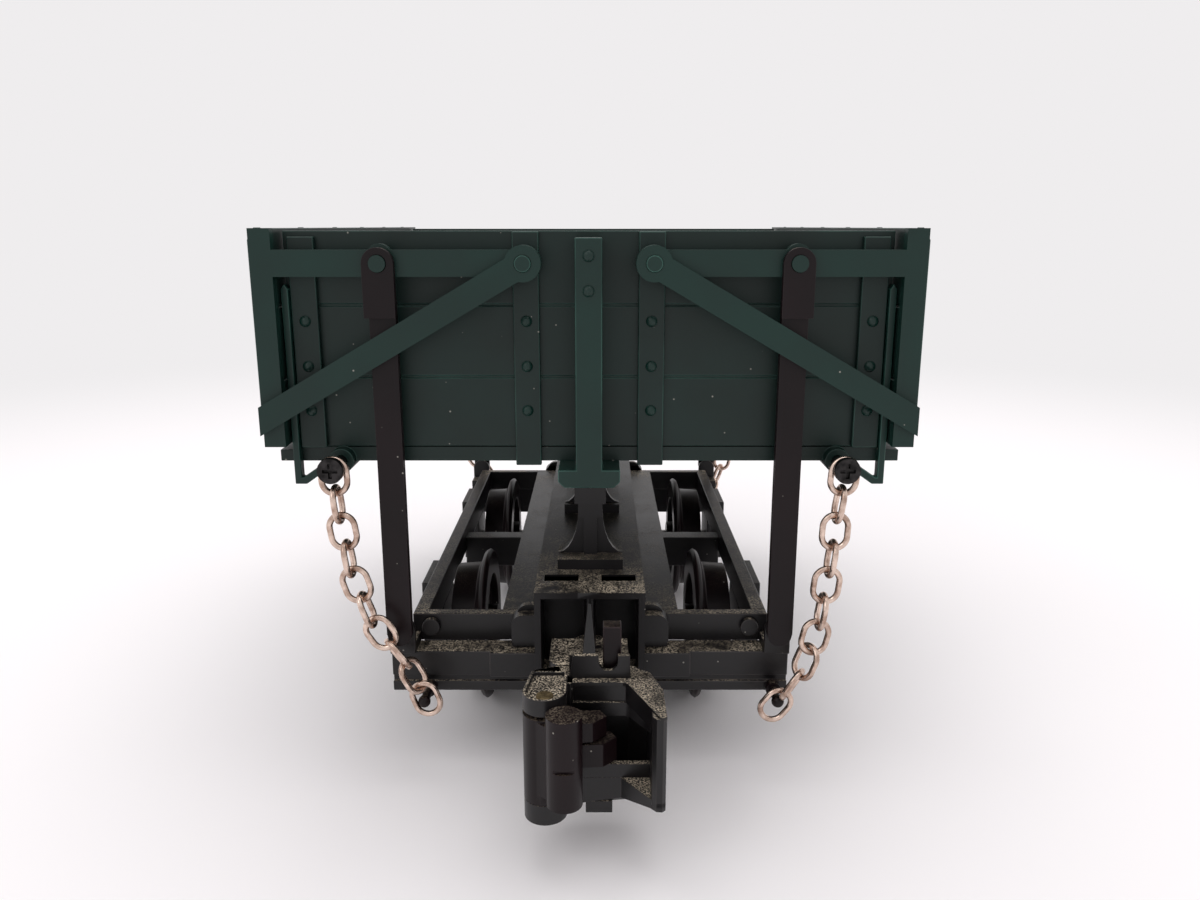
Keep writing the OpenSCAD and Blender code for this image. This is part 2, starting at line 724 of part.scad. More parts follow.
centre_sill();
side_rail(-1);  // left_side_rail
side_rail(1);  // right_side_rail
end_beam(0);  // front_end_beam
end_beam(1);  // rear_end_beam
buffer_beam(0);  // front_buffer_beam
buffer_beam(1);  // rear_buffer_beam
cross_beam();
journal_boxes();
translate([0, -pedestal_y, 0]) pedestal(9, [0]);  // front_pedestal
pedestal(centre_pedestal_length, [-10.5, 10.5]);  // centre_pedestal
translate([0, pedestal_y, 0]) pedestal(9, [0]);  // rear_pedestal
link_seats();
chain_hooks();
frame_bolts();
coupler_pins();
axle(0);  // front_axle
wheels(0);  // front_wheels
axle(1);  // rear_axle
wheels(1);  // rear_wheels
coupler_head(0);  // front_coupler_head
knuckle(0);  // front_knuckle
knuckle_pin(0);  // front_knuckle_pin
lift_pin(0);  // front_lift_pin
coupler_head(1);  // rear_coupler_head
knuckle(1);  // rear_knuckle
knuckle_pin(1);  // rear_knuckle_pin
lift_pin(1);  // rear_lift_pin
tipping_shaft();
body_floor();
shaft_hangers();
end_wall(0);  // front_end_wall
end_wall(1);  // rear_end_wall
battens(0);  // front_battens
battens(1);  // rear_battens
centre_post(0);  // front_centre_post
centre_post(1);  // rear_centre_post
corner_straps();
rivets();
chain_screws();
arm_pivot_pins();
door(-1);  // left_door
door_stakes(-1);  // left_door_stakes
door_arm(-1, 0);  // left_front_arm
door_arm(-1, 1);  // left_rear_arm
door(1);  // right_door
door_stakes(1);  // right_door_stakes
door_arm(1, 0);  // right_front_arm
door_arm(1, 1);  // right_rear_arm
link_bar(-1, 0);  // left_front_link
link_bar(-1, 1);  // left_rear_link
link_bar(1, 0);  // right_front_link
link_bar(1, 1);  // right_rear_link
chain(-1, 0, 0);  // left_chain_tops
chain(-1, 1, last_upper);  // left_chain_uppers
chain(-1, last_upper + 1, 9);  // left_chain_lowers
chain(1, 0, 0);  // right_chain_tops
chain(1, 1, last_upper);  // right_chain_uppers
chain(1, last_upper + 1, 9);  // right_chain_lowers
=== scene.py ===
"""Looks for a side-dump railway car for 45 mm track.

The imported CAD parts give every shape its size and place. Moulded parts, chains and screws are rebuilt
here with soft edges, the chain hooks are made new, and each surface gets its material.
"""

import json
import math

import bmesh
import bpy
from mathutils import Matrix, Vector


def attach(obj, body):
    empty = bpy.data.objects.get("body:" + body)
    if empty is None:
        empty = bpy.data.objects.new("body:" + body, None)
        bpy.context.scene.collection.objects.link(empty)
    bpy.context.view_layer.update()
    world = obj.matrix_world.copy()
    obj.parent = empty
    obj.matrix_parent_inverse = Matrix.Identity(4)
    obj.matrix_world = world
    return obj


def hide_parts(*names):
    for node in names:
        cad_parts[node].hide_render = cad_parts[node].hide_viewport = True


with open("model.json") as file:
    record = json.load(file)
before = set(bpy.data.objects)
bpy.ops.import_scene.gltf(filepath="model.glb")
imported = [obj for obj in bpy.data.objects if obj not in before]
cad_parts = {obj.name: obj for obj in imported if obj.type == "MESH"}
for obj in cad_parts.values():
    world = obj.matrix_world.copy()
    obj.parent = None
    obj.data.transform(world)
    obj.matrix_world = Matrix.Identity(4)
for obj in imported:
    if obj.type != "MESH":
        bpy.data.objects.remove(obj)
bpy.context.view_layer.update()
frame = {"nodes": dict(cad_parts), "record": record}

MM = 0.001
BLACK, WHITE = (0, 0, 0, 1), (1, 1, 1, 1)
UP = 0.9                  # a face whose normal's Z is over this looks up
SMOOTH_DEG = 35           # faces that meet at less than this shade as one
SHARP_DEG = 32            # edges that turn by more than this are rounded


# ---- Materials ----


def srgb(code, alpha=1.0):
    """A hex sRGB colour as the linear values that shaders use."""
    parts = [int(code[i : i + 2], 16) / 255 for i in (1, 3, 5)]
    linear = [p / 12.92 if p <= 0.04045 else ((p + 0.055) / 1.055) ** 2.4 for p in parts]
    return (*linear, alpha)


def add(tree, kind, links=None, **settings):
    """Adds a node. Settings name its properties or else its sockets; links feed its sockets."""
    node = tree.nodes.new(kind)
    for name, value in settings.items():
        if hasattr(node, name):
            setattr(node, name, value)
        else:
            node.inputs[name.replace("_", " ")].default_value = value
    for name, source in (links or {}).items():
        tree.links.new(source, node.inputs[name])
    return node


def material(name, roughness, **shader):
    """An empty material with its shader, ready for its patterns."""
    made = bpy.data.materials.new(name)
    made.use_nodes = True
    tree = made.node_tree
    surface = tree.nodes["Principled BSDF"]
    surface.inputs["Roughness"].default_value = roughness
    for socket, value in shader.items():
        surface.inputs[socket.replace("_", " ")].default_value = value
    return made, tree, surface


def ramp(tree, source, *stops):
    """A colour ramp over a value, with its stops as (place, colour)."""
    node = add(tree, "ShaderNodeValToRGB", {"Fac": source})
    elements = node.color_ramp.elements
    while len(elements) < len(stops):
        elements.new(0.5)
    for element, (place, colour) in zip(elements, stops):
        element.position = place
        element.color = colour
    return node


def noise(tree, size_mm, detail=3.0, rough=0.5):
    """Noise in the object's own space whose blobs are about size_mm across."""
    place = add(tree, "ShaderNodeTexCoord")
    return add(
        tree,
        "ShaderNodeTexNoise",
        {"Vector": place.outputs["Object"]},
        Scale=1 / (size_mm * MM),
        Detail=detail,
        Roughness=rough,
    )


def mix(tree, fac, first, second):
    """Mixes two colours by a factor."""
    node = add(tree, "ShaderNodeMix", data_type="RGBA")
    tree.links.new(fac, node.inputs["Factor"])
    for socket, value in (("A", first), ("B", second)):
        target = [s for s in node.inputs if s.name == socket and s.type == "RGBA"][0]
        if isinstance(value, tuple):
            target.default_value = value
        else:
            tree.links.new(value, target)
    return [s for s in node.outputs if s.type == "RGBA"][0]


def maths(tree, operation, first, second=0.5, clamp=True):
    """One arithmetic step between a link and a link or number."""
    node = add(tree, "ShaderNodeMath", {0: first}, operation=operation, use_clamp=clamp)
    if isinstance(second, (int, float)):
        node.inputs[1].default_value = second
    else:
        tree.links.new(second, node.inputs[1])
    return node.outputs[0]


DUST_GRAIN_MM = 0.28      # coarser than real dust, so that it shows
DUST_PATCH_MM = 6         # the loose patches that the grains lie in
SHELTERED_MM = 38         # up to here from the car's middle, the body keeps dust off
OPEN_MM = 54              # from here on, dust settles freely
SHELTERED_SHARE = 0.22    # how much of it settles under the body


def dust_mask(tree, grain_mm, cover):
    """Where dust lies: on faces that look up, in grains and loose patches, less under the body."""
    shape = add(tree, "ShaderNodeNewGeometry")
    split = add(tree, "ShaderNodeSeparateXYZ", {"Vector": shape.outputs["Normal"]})
    up = add(
        tree, "ShaderNodeMapRange", {"Value": split.outputs["Z"]},
        interpolation_type="SMOOTHSTEP", From_Min=0.75, From_Max=0.97,
    )
    grains = ramp(tree, noise(tree, grain_mm, 1.5, 0.6).outputs["Fac"], (0.46, BLACK), (0.6, WHITE))
    patches = ramp(tree, noise(tree, DUST_PATCH_MM, 3, 0.6).outputs["Fac"], (0.3, BLACK), (0.65, WHITE))
    loose = maths(tree, "MULTIPLY", grains.outputs["Color"], patches.outputs["Color"])
    place = add(tree, "ShaderNodeTexCoord")
    along = add(tree, "ShaderNodeSeparateXYZ", {"Vector": place.outputs["Object"]})
    outward = maths(tree, "ABSOLUTE", along.outputs["Y"], clamp=False)
    open_air = add(
        tree, "ShaderNodeMapRange", {"Value": outward},
        From_Min=SHELTERED_MM * MM, From_Max=OPEN_MM * MM, To_Min=SHELTERED_SHARE,
    )
    settled = maths(tree, "MULTIPLY", loose, open_air.outputs["Result"])
    return maths(tree, "MULTIPLY", maths(tree, "MULTIPLY", up.outputs["Result"], settled), cover)


def specks(tree, size_mm, share):
    """Scattered bright specks of lint, as a mask."""
    place = add(tree, "ShaderNodeTexCoord")
    cells = add(
        tree, "ShaderNodeTexVoronoi", {"Vector": place.outputs["Object"]}, Scale=1 / (size_mm * MM)
    )
    return ramp(tree, cells.outputs["Distance"], (share, WHITE), (share + 0.02, BLACK)).outputs["Color"]


LINT = "#A9A59C"
LINT_MM = 3.1             # distance between specks of lint
LINT_SHARE = 0.035        # a speck's radius, as a share of that distance
BLOTCH_MM = 14            # slow changes of tone over a moulding
SKIN_MM = 0.35            # the fine grain of a moulded skin
ABS_IOR = 1.53
# Lighter second skins for rounded edges: painted highlight, partly handling wear
EDGE_HIGHLIGHT_SKINS = {}


def moulded(name, body, edge_highlight, shade, dust, cover, roughness, shine=0.34):
    """Injection-moulded ABS: a satin skin with dust on top, and a lighter one on the rounded edges:
    painted highlight, partly handling wear.
    """
    made = moulded_skin(name, body, shade, dust, cover, roughness, shine)
    edge_name = name + "_handled_edge"
    # the edge skin paints a highlight along the rounded edges
    EDGE_HIGHLIGHT_SKINS[name] = moulded_skin(edge_name, edge_highlight, body, dust, cover * 0.5, roughness, shine)
    return made


def moulded_skin(name, body, shade, dust, cover, roughness, shine):
    """One moulded surface: slow blotches, dust, lint and a fine grain."""
    made, tree, surface = material(name, roughness, IOR=ABS_IOR, Specular_IOR_Level=shine)
    tone = noise(tree, BLOTCH_MM, 4).outputs["Fac"]
    blotch = ramp(tree, tone, (0.35, srgb(shade)), (0.65, srgb(body)))
    mask = dust_mask(tree, DUST_GRAIN_MM, cover)
    dusty = mix(tree, mask, blotch.outputs["Color"], srgb(dust))
    lint = maths(tree, "MULTIPLY", specks(tree, LINT_MM, LINT_SHARE), 0.6)
    tree.links.new(mix(tree, lint, dusty, srgb(LINT)), surface.inputs["Base Color"])
    rough = add(tree, "ShaderNodeMapRange", {"Value": mask}, To_Min=roughness, To_Max=0.95)
    tree.links.new(rough.outputs["Result"], surface.inputs["Roughness"])
    fine = noise(tree, SKIN_MM, 3).outputs["Fac"]
    skin = add(tree, "ShaderNodeBump", {"Height": fine}, Strength=0.12, Distance=0.05 * MM)
    grit = add(
        tree, "ShaderNodeBump", {"Height": mask, "Normal": skin.outputs["Normal"]},
        Strength=0.5, Distance=0.12 * MM,
    )
    tree.links.new(grit.outputs["Normal"], surface.inputs["Normal"])
    return made


def metal(name, colour, dark, roughness, grain_mm):
    """Bare metal with slight tarnish in blotches."""
    made, tree, surface = material(name, roughness, Metallic=1.0)
    blotch = noise(tree, grain_mm, 4)
    tint = ramp(tree, blotch.outputs["Fac"], (0.35, srgb(dark)), (0.62, srgb(colour)))
    tree.links.new(tint.outputs["Color"], surface.inputs["Base Color"])
    rough = add(
        tree, "ShaderNodeMapRange", {"Value": blotch.outputs["Fac"]},
        To_Min=roughness + 0.12, To_Max=roughness - 0.06,
    )
    tree.links.new(rough.outputs["Result"], surface.inputs["Roughness"])
    return made


# Satin ABS in deep green, for the planked body: even and a little greyed, and darker than the bars as
# painted shade of the recessed panels
SHADED_BOARD_GREEN_ABS = moulded(
    "board_green_moulded_abs", "#0A211D", "#27433C", "#081B17", "#5C625B",
    0.25, 0.42, 0.3,
)
# The same plastic in the clearer green of the doors and their bars: painted light on these raised
# parts, with a painted highlight on the rounded edges
LIT_BAR_GREEN_ABS = moulded(
    "bar_green_moulded_abs", "#0A2A24", "#2E5048", "#09241F", "#6A706A",
    0.25, 0.4, 0.3,
)
# Satin ABS in warm black, with brown-grey layout dust on every ledge
BLACK_ABS = moulded(
    "black_moulded_abs", "#121012", "#353131", "#0E0C0D", "#D6C7B0",
    1.0, 0.36,
)
# The same black with hardly any dust, for upright bars and wheels
CLEAN_BLACK_ABS = moulded(
    "clean_black_moulded_abs", "#14090C", "#2E2224", "#0E0608", "#A99A86",
    0.35, 0.36, 0.2,
)
# Nickel-plated brass wire that has warmed in tone
CHAIN_NICKEL = metal("nickel_plated_chain_wire", "#DFC9BB", "#A98F80", 0.22, 1.6)
# Turned mild steel of the axles and shaft
TURNED_STEEL = metal("turned_steel", "#B4B2AE", "#8C8A87", 0.32, 2.5)
# Brass of the knuckle pins, dulled by dust
DULL_BRASS = metal("dull_brass", "#B9A27A", "#7D6C50", 0.42, 0.8)
# Blacked steel of the small cross-head screws
BLACKED_STEEL = metal("blacked_steel", "#3A3838", "#232222", 0.34, 1.2)


# ---- Building ----


def finish_mesh(name, mesh, look):
    """An object from a bmesh, with its material and smooth shading up to an angle."""
    data = bpy.data.meshes.new(name)
    mesh.to_mesh(data)
    mesh.free()
    made = bpy.data.objects.new(name, data)
    bpy.context.scene.collection.objects.link(made)
    data.materials.append(look)
    # slot 1 holds the painted edge highlight
    if look.name in EDGE_HIGHLIGHT_SKINS:
        data.materials.append(EDGE_HIGHLIGHT_SKINS[look.name])
    for face in data.polygons:
        face.use_smooth = True
    data.set_sharp_from_angle(angle=math.radians(SMOOTH_DEG))
    even = made.modifiers.new("even_light", "WEIGHTED_NORMAL")
    even.keep_sharp = True
    even.weight = 100
    return made


def welded(node):
    """A merged copy of a CAD node's mesh, with its flat facets joined."""
    mesh = bmesh.new()
    mesh.from_mesh(frame["nodes"][node].data)
    bmesh.ops.remove_doubles(mesh, verts=mesh.verts, dist=0.001 * MM)
    bmesh.ops.dissolve_limit(
        mesh, angle_limit=math.radians(1), verts=mesh.verts, edges=mesh.edges
    )
    return mesh


def soften(node, look, edge_mm=0.18, shape=None):
    """Stands in for a CAD node with the soft edges of a moulding, and with finer shapes worked in."""
    mesh = welded(node)
    if shape:
        shape(mesh)
    round_edges(mesh, edge_mm)
    piece = finish_mesh(node + "_moulding", mesh, look)
    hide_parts(node)
    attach(piece, body_of_node(node))
    return piece


def moved_corners(grown):
    """The new corners of an extrusion."""
    return [item for item in grown if isinstance(item, bmesh.types.BMVert)]


def sink(mesh, low, high, depth):
    """Sinks the top faces inside a box in mm, after cutting them free along its sides."""
    for axis in (0, 1):
        for spot in (low[axis], high[axis]):
            way = [0, 0, 0]
            way[axis] = 1
            geometry = list(mesh.verts) + list(mesh.edges) + list(mesh.faces)
            place = [spot * MM * part for part in way]
            bmesh.ops.bisect_plane(mesh, geom=geometry, plane_co=place, plane_no=way)
    top = []
    for face in mesh.faces:
        middle = face.calc_center_median() / MM
        if face.normal.z > UP and all(low[k] < middle[k] < high[k] for k in range(3)):
            top.append(face)
    grown = bmesh.ops.extrude_face_region(mesh, geom=top)["geom"]
    bmesh.ops.translate(mesh, verts=moved_corners(grown), vec=(0, 0, -depth * MM))
    bmesh.ops.delete(mesh, geom=top, context="FACES")


def round_edges(mesh, edge_mm):
    """Rounds each edge that is sharp enough to see, and gives the rounding the lighter skin of a
    painted highlight.
    """
    sharp = [
        edge for edge in mesh.edges
        if len(edge.link_faces) == 2 and edge.calc_face_angle(0) > math.radians(SHARP_DEG)
    ]
    rounded = bmesh.ops.bevel(
        mesh,
        geom=sharp,
        offset=edge_mm * MM,
        segments=2,
        profile=0.5,
        affect="EDGES",
        clamp_overlap=True,
        material=-1,
    )
    # the rounding takes the painted edge highlight
    for face in rounded["faces"]:
        face.material_index = 1


def prism(mesh, outline, low, high, along="Z"):
    """Adds a closed prism from an outline in mm: (x, y) along Z, (x, z) along Y or (y, z) along X."""
    spots = {
        "Z": lambda a, b: (a, b, low),
        "Y": lambda a, b: (a, low, b),
        "X": lambda a, b: (low, a, b),
    }[along]
    foot = mesh.faces.new([mesh.verts.new(Vector(spots(a, b)) * MM) for a, b in outline])
    grown = bmesh.ops.extrude_face_region(mesh, geom=[foot])["geom"]
    way = Vector({"Z": (0, 0, 1), "Y": (0, 1, 0), "X": (1, 0, 0)}[along])
    bmesh.ops.translate(mesh, verts=moved_corners(grown), vec=way * (high - low) * MM)
    return next(item for item in grown if isinstance(item, bmesh.types.BMFace))


def drum(mesh, centre, dia, low, high):
    """Adds a closed upright cylinder, in mm."""
    middle = Matrix.Translation(Vector((*centre, (low + high) / 2)) * MM)
    bmesh.ops.create_cone(
        mesh, cap_ends=True, segments=48, radius1=dia / 2 * MM, radius2=dia / 2 * MM,
        depth=(high - low) * MM, matrix=middle,
    )


def arc(centre, radius, start, stop, steps=8):
    """Points along an arc in a plane, angles in degrees."""
    turns = [math.radians(start + (stop - start) * k / steps) for k in range(steps + 1)]
    return [(centre[0] + radius * math.cos(t), centre[1] + radius * math.sin(t)) for t in turns]


def at_both_ends(name, build, look, body, *replaced, edge_mm):
    """Builds a piece at the front and turned half round at the rear; names hold a blank for the end."""
    for end, turn in (("front", 0), ("rear", math.pi)):
        mesh = bmesh.new()
        build(mesh)
        bmesh.ops.recalc_face_normals(mesh, faces=mesh.faces)
        round_edges(mesh, edge_mm)
        bmesh.ops.rotate(mesh, verts=mesh.verts, matrix=Matrix.Rotation(turn, 3, "Z"))
        piece = finish_mesh(name.format(end), mesh, look)
        if replaced:
            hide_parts(*[node.format(end) for node in replaced])
        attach(piece, body.format(end))


def body_of_node(node):
    """The body that a node belongs to."""
    bodies = frame["record"]["behaviour"]["bodies"]
    return next(name for name, nodes in bodies.items() if node in nodes)


# ---- The car ----

BOARD_NODES = [
    "body_floor", "front_end_wall", "rear_end_wall", "front_battens", "rear_battens",
    "left_door", "right_door",
]
BAR_NODES = [
    "front_centre_post", "rear_centre_post", "corner_straps", "arm_pivot_pins",
    "left_door_stakes", "left_front_arm", "left_rear_arm",
    "right_door_stakes", "right_front_arm", "right_rear_arm",
]
DUSTY_NODES = [
    "centre_sill", "left_side_rail", "right_side_rail", "front_end_beam", "rear_end_beam",
    "front_buffer_beam", "rear_buffer_beam", "cross_beam", "journal_boxes", "front_pedestal",
    "centre_pedestal", "rear_pedestal", "link_seats", "frame_bolts", "coupler_pins",
]
CLEAN_NODES = [
    "front_wheels", "rear_wheels", "front_knuckle", "rear_knuckle", "front_lift_pin",
    "rear_lift_pin", "shaft_hangers", "left_front_link", "left_rear_link",
    "right_front_link", "right_rear_link",
]

# Sizes at the sill's ends, in mm: out from the car's middle, across, or up
SLOT_OUT = (49.9, 52.6)
SLOT_ACROSS = (2, 8)
RIDGE_TOP = (33, 34.4)    # just below and above the ridge's top
SLOT_DEPTH = 1.1
LUG_BACK = 50.6
LUG_INNER = 9.4
LUG_LOW = 22.9
LUG_ROUND = 2
LUG_STEPS = ((13.7, 27.9, 54.15), (12.9, 29, 52))    # outer side, top and front of each step


def sill_slots(mesh):
    """Two slots across each end of the sill's ridge, and two-step lugs beside its pocket."""
    for way in (-1, 1):
        for side in (-1, 1):
            near, far = sorted(way * out for out in SLOT_OUT)
            left, right = sorted(side * across for across in SLOT_ACROSS)
            sink(mesh, (left, near, RIDGE_TOP[0]), (right, far, RIDGE_TOP[1]), SLOT_DEPTH)
            for outer, top, front in LUG_STEPS:
                corner = arc((outer - LUG_ROUND, top - LUG_ROUND), LUG_ROUND, 0, 90)
                shape = [(LUG_INNER, LUG_LOW), (outer, LUG_LOW), *corner, (LUG_INNER, top)]
                outline = [(side * x, z) for x, z in shape]
                prism(mesh, outline, *sorted((way * LUG_BACK, way * front)), "Y")
    bmesh.ops.recalc_face_normals(mesh, faces=mesh.faces)


# boards take the darker green of painted shade, bars the lighter green of painted light
for node in BOARD_NODES:
    soften(node, SHADED_BOARD_GREEN_ABS)
for node in BAR_NODES:
    soften(node, LIT_BAR_GREEN_ABS)
soften("rivets", LIT_BAR_GREEN_ABS, 0.05)
for node in DUSTY_NODES:
    soften(node, BLACK_ABS, shape=sill_slots if node == "centre_sill" else None)
for node in CLEAN_NODES:
    soften(node, CLEAN_BLACK_ABS)
for node in ("front_axle", "rear_axle", "tipping_shaft"):
    soften(node, TURNED_STEEL, 0.2)
soften("chain_screws", BLACKED_STEEL, 0.08)
for side in ("left", "right"):
    for part in ("tops", "uppers", "lowers"):
        soften(f"{side}_chain_{part}", CHAIN_NICKEL, 0.01)


# ---- Couplers ----

# Heights and places on the front coupler, in mm
HEAD_LOW = 9.6            # underside of the head
JAW_TOP = 14              # top of the lower jaw
JAW_RISE = 3              # how far its underside rises towards the guard's tip
JAW_RISE_FROM = -79       # where along the car that rise starts
JAW_RISE_OVER = 8         # and over what length
THROAT_LOW = 16.2         # floor of the throat
THROAT_HIGH = 21.9        # roof of the throat
LEDGE = 24.1              # the step above the throat
HEAD_HIGH = 27.4          # top of the head
WALL_FRONT = -76.4        # face of the raised wall in front of the lift pin
WALL_HIGH = 31            # top of that wall
BARREL = (-6.3, -82.3)
BARREL_DIA = 6.4
EAR_HIGH = (25.9, 28.5)   # underside and top of the upper ear
EAR_RIM = 0.5             # width of the ear's rim
EAR_SUNK = 0.55           # how deep its top is sunk inside the rim


def coupler_head(mesh):
    """The head around its throat, with a raised notched wall for the lift pin and a guard arm."""
    shell(mesh)
    upper_jaw(mesh)
    guard_and_lower_jaw(mesh)
    lift_pin_wall(mesh)
    ear = [(BARREL[0] + 3.2, -77), (-9.2, -76.8)] + arc(BARREL, BARREL_DIA / 2, 180, 360, 16)
    prism(mesh, ear, HEAD_LOW - 1.1, HEAD_LOW + 2)
    shank(mesh)


def shell(mesh):
    """The thin walls behind, below and beside the throat."""
    back = [(-8.2, -73.6), (-4.6, -72.2), (6.6, -72.2), (9.4, -74.6)]
    prism(mesh, [(-9, -76.6), *back, (9.6, -81.2), (-2.8, -81.2)], HEAD_LOW + 0.5, HEAD_LOW + 1.4)
    prism(mesh, [(-8.9, -76.6), *back, (9.6, -76.8)], THROAT_HIGH, HEAD_HIGH)
    behind = [(-6.6, -73), *back[1:], (9.2, -75.4), (6.2, -73.4), (-6, -73.6)]
    prism(mesh, behind, HEAD_LOW + 1, THROAT_HIGH + 1)
    guard_side = [(8.9, -74.2), (9.7, -74.8), (10.6, -81), (9.2, -81)]
    prism(mesh, guard_side, HEAD_LOW + 0.6, THROAT_HIGH + 1)
    barrel_side = [(-9, -76.6), (-8.2, -73.6), (-4.6, -72.4), (-3.4, -76.6)]
    prism(mesh, barrel_side, HEAD_LOW + 1, HEAD_HIGH)


def upper_jaw(mesh):
    """The roof of the throat, and the lip over a set-back panel above it."""
    roof = [
        (-2.8, -75), (9.6, -75), (10.6, -79), (9.8, -83.6),
        (9.0, -82.6), (6.1, -78.1), (5.4, -77.8), (-2.8, -77.8),
    ]
    prism(mesh, roof, THROAT_HIGH, LEDGE)
    panel = [
        (-2.8, -75), (9.6, -75), (10.8, -79), (10.8, -87.6), (9.9, -86.9), (5.6, -77.5), (-2.8, -77.2),
    ]
    prism(mesh, panel, LEDGE - 0.2, HEAD_HIGH - 0.5)
    lip = [
        (-3.3, -74.6), (9.4, -74.6), (11.1, -80.2), (11.1, -87.9), (10.6, -88.3),
        (10.1, -88.2), (5.9, -78.3), (5.2, -77.8), (-3.3, -77.8),
    ]
    prism(mesh, lip, HEAD_HIGH - 0.6, HEAD_HIGH)
    post = [(-3.4, -76), (-2.3, -76), (-2.3, -77.8), (-2.6, -78.2), (-3.4, -78.2)]
    prism(mesh, post, THROAT_HIGH - 0.4, HEAD_HIGH)
    bend = arc((-1.3, HEAD_HIGH - 1.7), 1.1, 180, 90)
    corner = [(-2.5, HEAD_HIGH - 1.6), *bend, (-0.9, HEAD_HIGH - 0.4), (-2.5, HEAD_HIGH - 0.4)]
    prism(mesh, corner, -77.7, -76, "Y")


def guard_and_lower_jaw(mesh):
    """The guard arm, and the jaw that slants out to it with a tab below."""
    guard = [
        (9.1, -76), (9.7, -75.4), (11.1, -80.2), (11.1, -87.8),
        (10.6, -88.3), (9.7, -88.2), (9.1, -87.4),
    ]
    prism(mesh, guard, THROAT_LOW - 3, HEAD_HIGH - 0.3)
    sill = [(-2.8, -80.7), (9.3, -80.7), (9.3, -81.7), (-2.8, -81.7)]
    prism(mesh, sill, HEAD_LOW + 1, THROAT_LOW)
    jaw = [
        (-2.6, -80.6), (11.1, -80.6), (11.1, -87.8), (10.6, -88.3),
        (9.7, -88.2), (9, -87.2), (4.9, -81.75), (-2.6, -81.75),
    ]
    before = set(mesh.verts)
    prism(mesh, jaw, HEAD_LOW, JAW_TOP)
    for vert in set(mesh.verts) - before:
        x, y, z = vert.co / MM
        if z < JAW_TOP - 0.1 and x > 4:
            vert.co.z += JAW_RISE * MM * max(0, min(1, (JAW_RISE_FROM - y) / JAW_RISE_OVER))
    tab = [(-0.4, -78), (3.6, -78), (3.6, -81.7), (-0.4, -81.7)]
    prism(mesh, tab, HEAD_LOW - 1.5, HEAD_LOW + 0.4)


def lift_pin_wall(mesh):
    """The wall in front of the lift pin, with its round notch and the cheeks that run back from it."""
    foot = HEAD_HIGH - 0.2
    notch = [
        *arc((3, 30), 1.45, 180, 360), (4.45, WALL_HIGH), (6.2, WALL_HIGH),
        (6.4, foot), (-2.9, foot), (-2.3, WALL_HIGH), (1.55, WALL_HIGH),
    ]
    prism(mesh, notch, WALL_FRONT, WALL_FRONT + 0.9, "Y")
    cheek = [(WALL_FRONT + 0.8, foot), (-72.4, foot), (-72.6, 28.4), (WALL_FRONT + 0.8, 30.8)]
    for side in (-2.9, 5.5):
        prism(mesh, cheek, side, side + 0.8, "X")


def upper_lug(mesh):
    """The ear over the knuckle, its top sunk inside a thin rim."""
    outline = [(-3.1, -76.2), (-8.6, -76.2)] + arc(BARREL, BARREL_DIA / 2, 180, 360, 16)
    top = prism(mesh, outline, *EAR_HIGH)
    bmesh.ops.recalc_face_normals(mesh, faces=mesh.faces)
    bmesh.ops.inset_region(mesh, faces=[top], thickness=EAR_RIM * MM, use_even_offset=True)
    grown = bmesh.ops.extrude_face_region(mesh, geom=[top])["geom"]
    bmesh.ops.translate(mesh, verts=moved_corners(grown), vec=(0, 0, -EAR_SUNK * MM))
    bmesh.ops.delete(mesh, geom=[top], context="FACES_ONLY")


def shank(mesh):
    """The drawbar, with its round-cornered plate and a wedge that rises to the pocket's mouth."""
    prism(mesh, [(-2.8, -52.2), (2.8, -52.2), (2.8, -73), (-2.8, -73)], 18, 22)
    drum(mesh, (0, -52), 5.6, 18, 22.2)
    right = [(6.35, -60.4)] + arc((4.0, -68), 2.35, 0, -70)
    left = arc((-4.0, -68), 2.35, -110, -180) + [(-6.35, -60.4)]
    prism(mesh, right + left, 24.6, 26.5)
    prism(mesh, [(2.8, -61), (2.8, -72.4), (-2.8, -72.4), (-2.8, -61)], 21.5, 24.8)
    wedge_foot = ((-1.05, -66.4, 26.4), (1.05, -66.4, 26.4), (1.05, -60, 26.4), (-1.05, -60, 26.4))
    wedge_tip = ((-0.25, -59.6, 32.4), (0.25, -59.6, 32.4))
    foot = [mesh.verts.new(Vector(corner) * MM) for corner in wedge_foot]
    tip = [mesh.verts.new(Vector(corner) * MM) for corner in wedge_tip]
    mesh.faces.new((foot[0], foot[1], tip[1], tip[0]))
    mesh.faces.new((foot[1], foot[2], tip[1]))
    mesh.faces.new((foot[3], foot[0], tip[0]))
    mesh.faces.new((foot[2], foot[3], tip[0], tip[1]))
    mesh.faces.new(foot[::-1])


def pin_in_lug(mesh):
    """The knuckle's pin, its head showing in the sunk top of the ear."""
    drum(mesh, BARREL, 1.6, 8.6, 28)
    drum(mesh, (BARREL[0] + 0.1, BARREL[1] - 0.9), 2.5, 27.7, 28.25)


COUPLER = body_of_node("front_coupler_head").replace("front", "{}")
KNUCKLE_PIN = body_of_node("front_knuckle_pin").replace("front", "{}")
at_both_ends(
    "{}_coupler_head_moulding", coupler_head, BLACK_ABS, COUPLER, "{}_coupler_head", edge_mm=0.13
)
at_both_ends("{}_coupler_upper_lug", upper_lug, BLACK_ABS, COUPLER, edge_mm=0.1)
at_both_ends(
    "{}_knuckle_pin_turning", pin_in_lug, DULL_BRASS, KNUCKLE_PIN, "{}_knuckle_pin", edge_mm=0.08
)


# ---- Chain hooks ----

# Places and sizes of the hooks, in mm
HOOK_PLACES = ((-28.06, 15.2), (31.91, 15.2))
HOOK_ROOT = 55            # where a pin leaves the buffer beam
HOOK_BALL = 60.9          # the middle of its ball
PIN_RADIUS = 0.75
COLLAR_RADIUS = 1.3
COLLAR_LENGTH = 1.6
BALL_RADIUS = 1.05


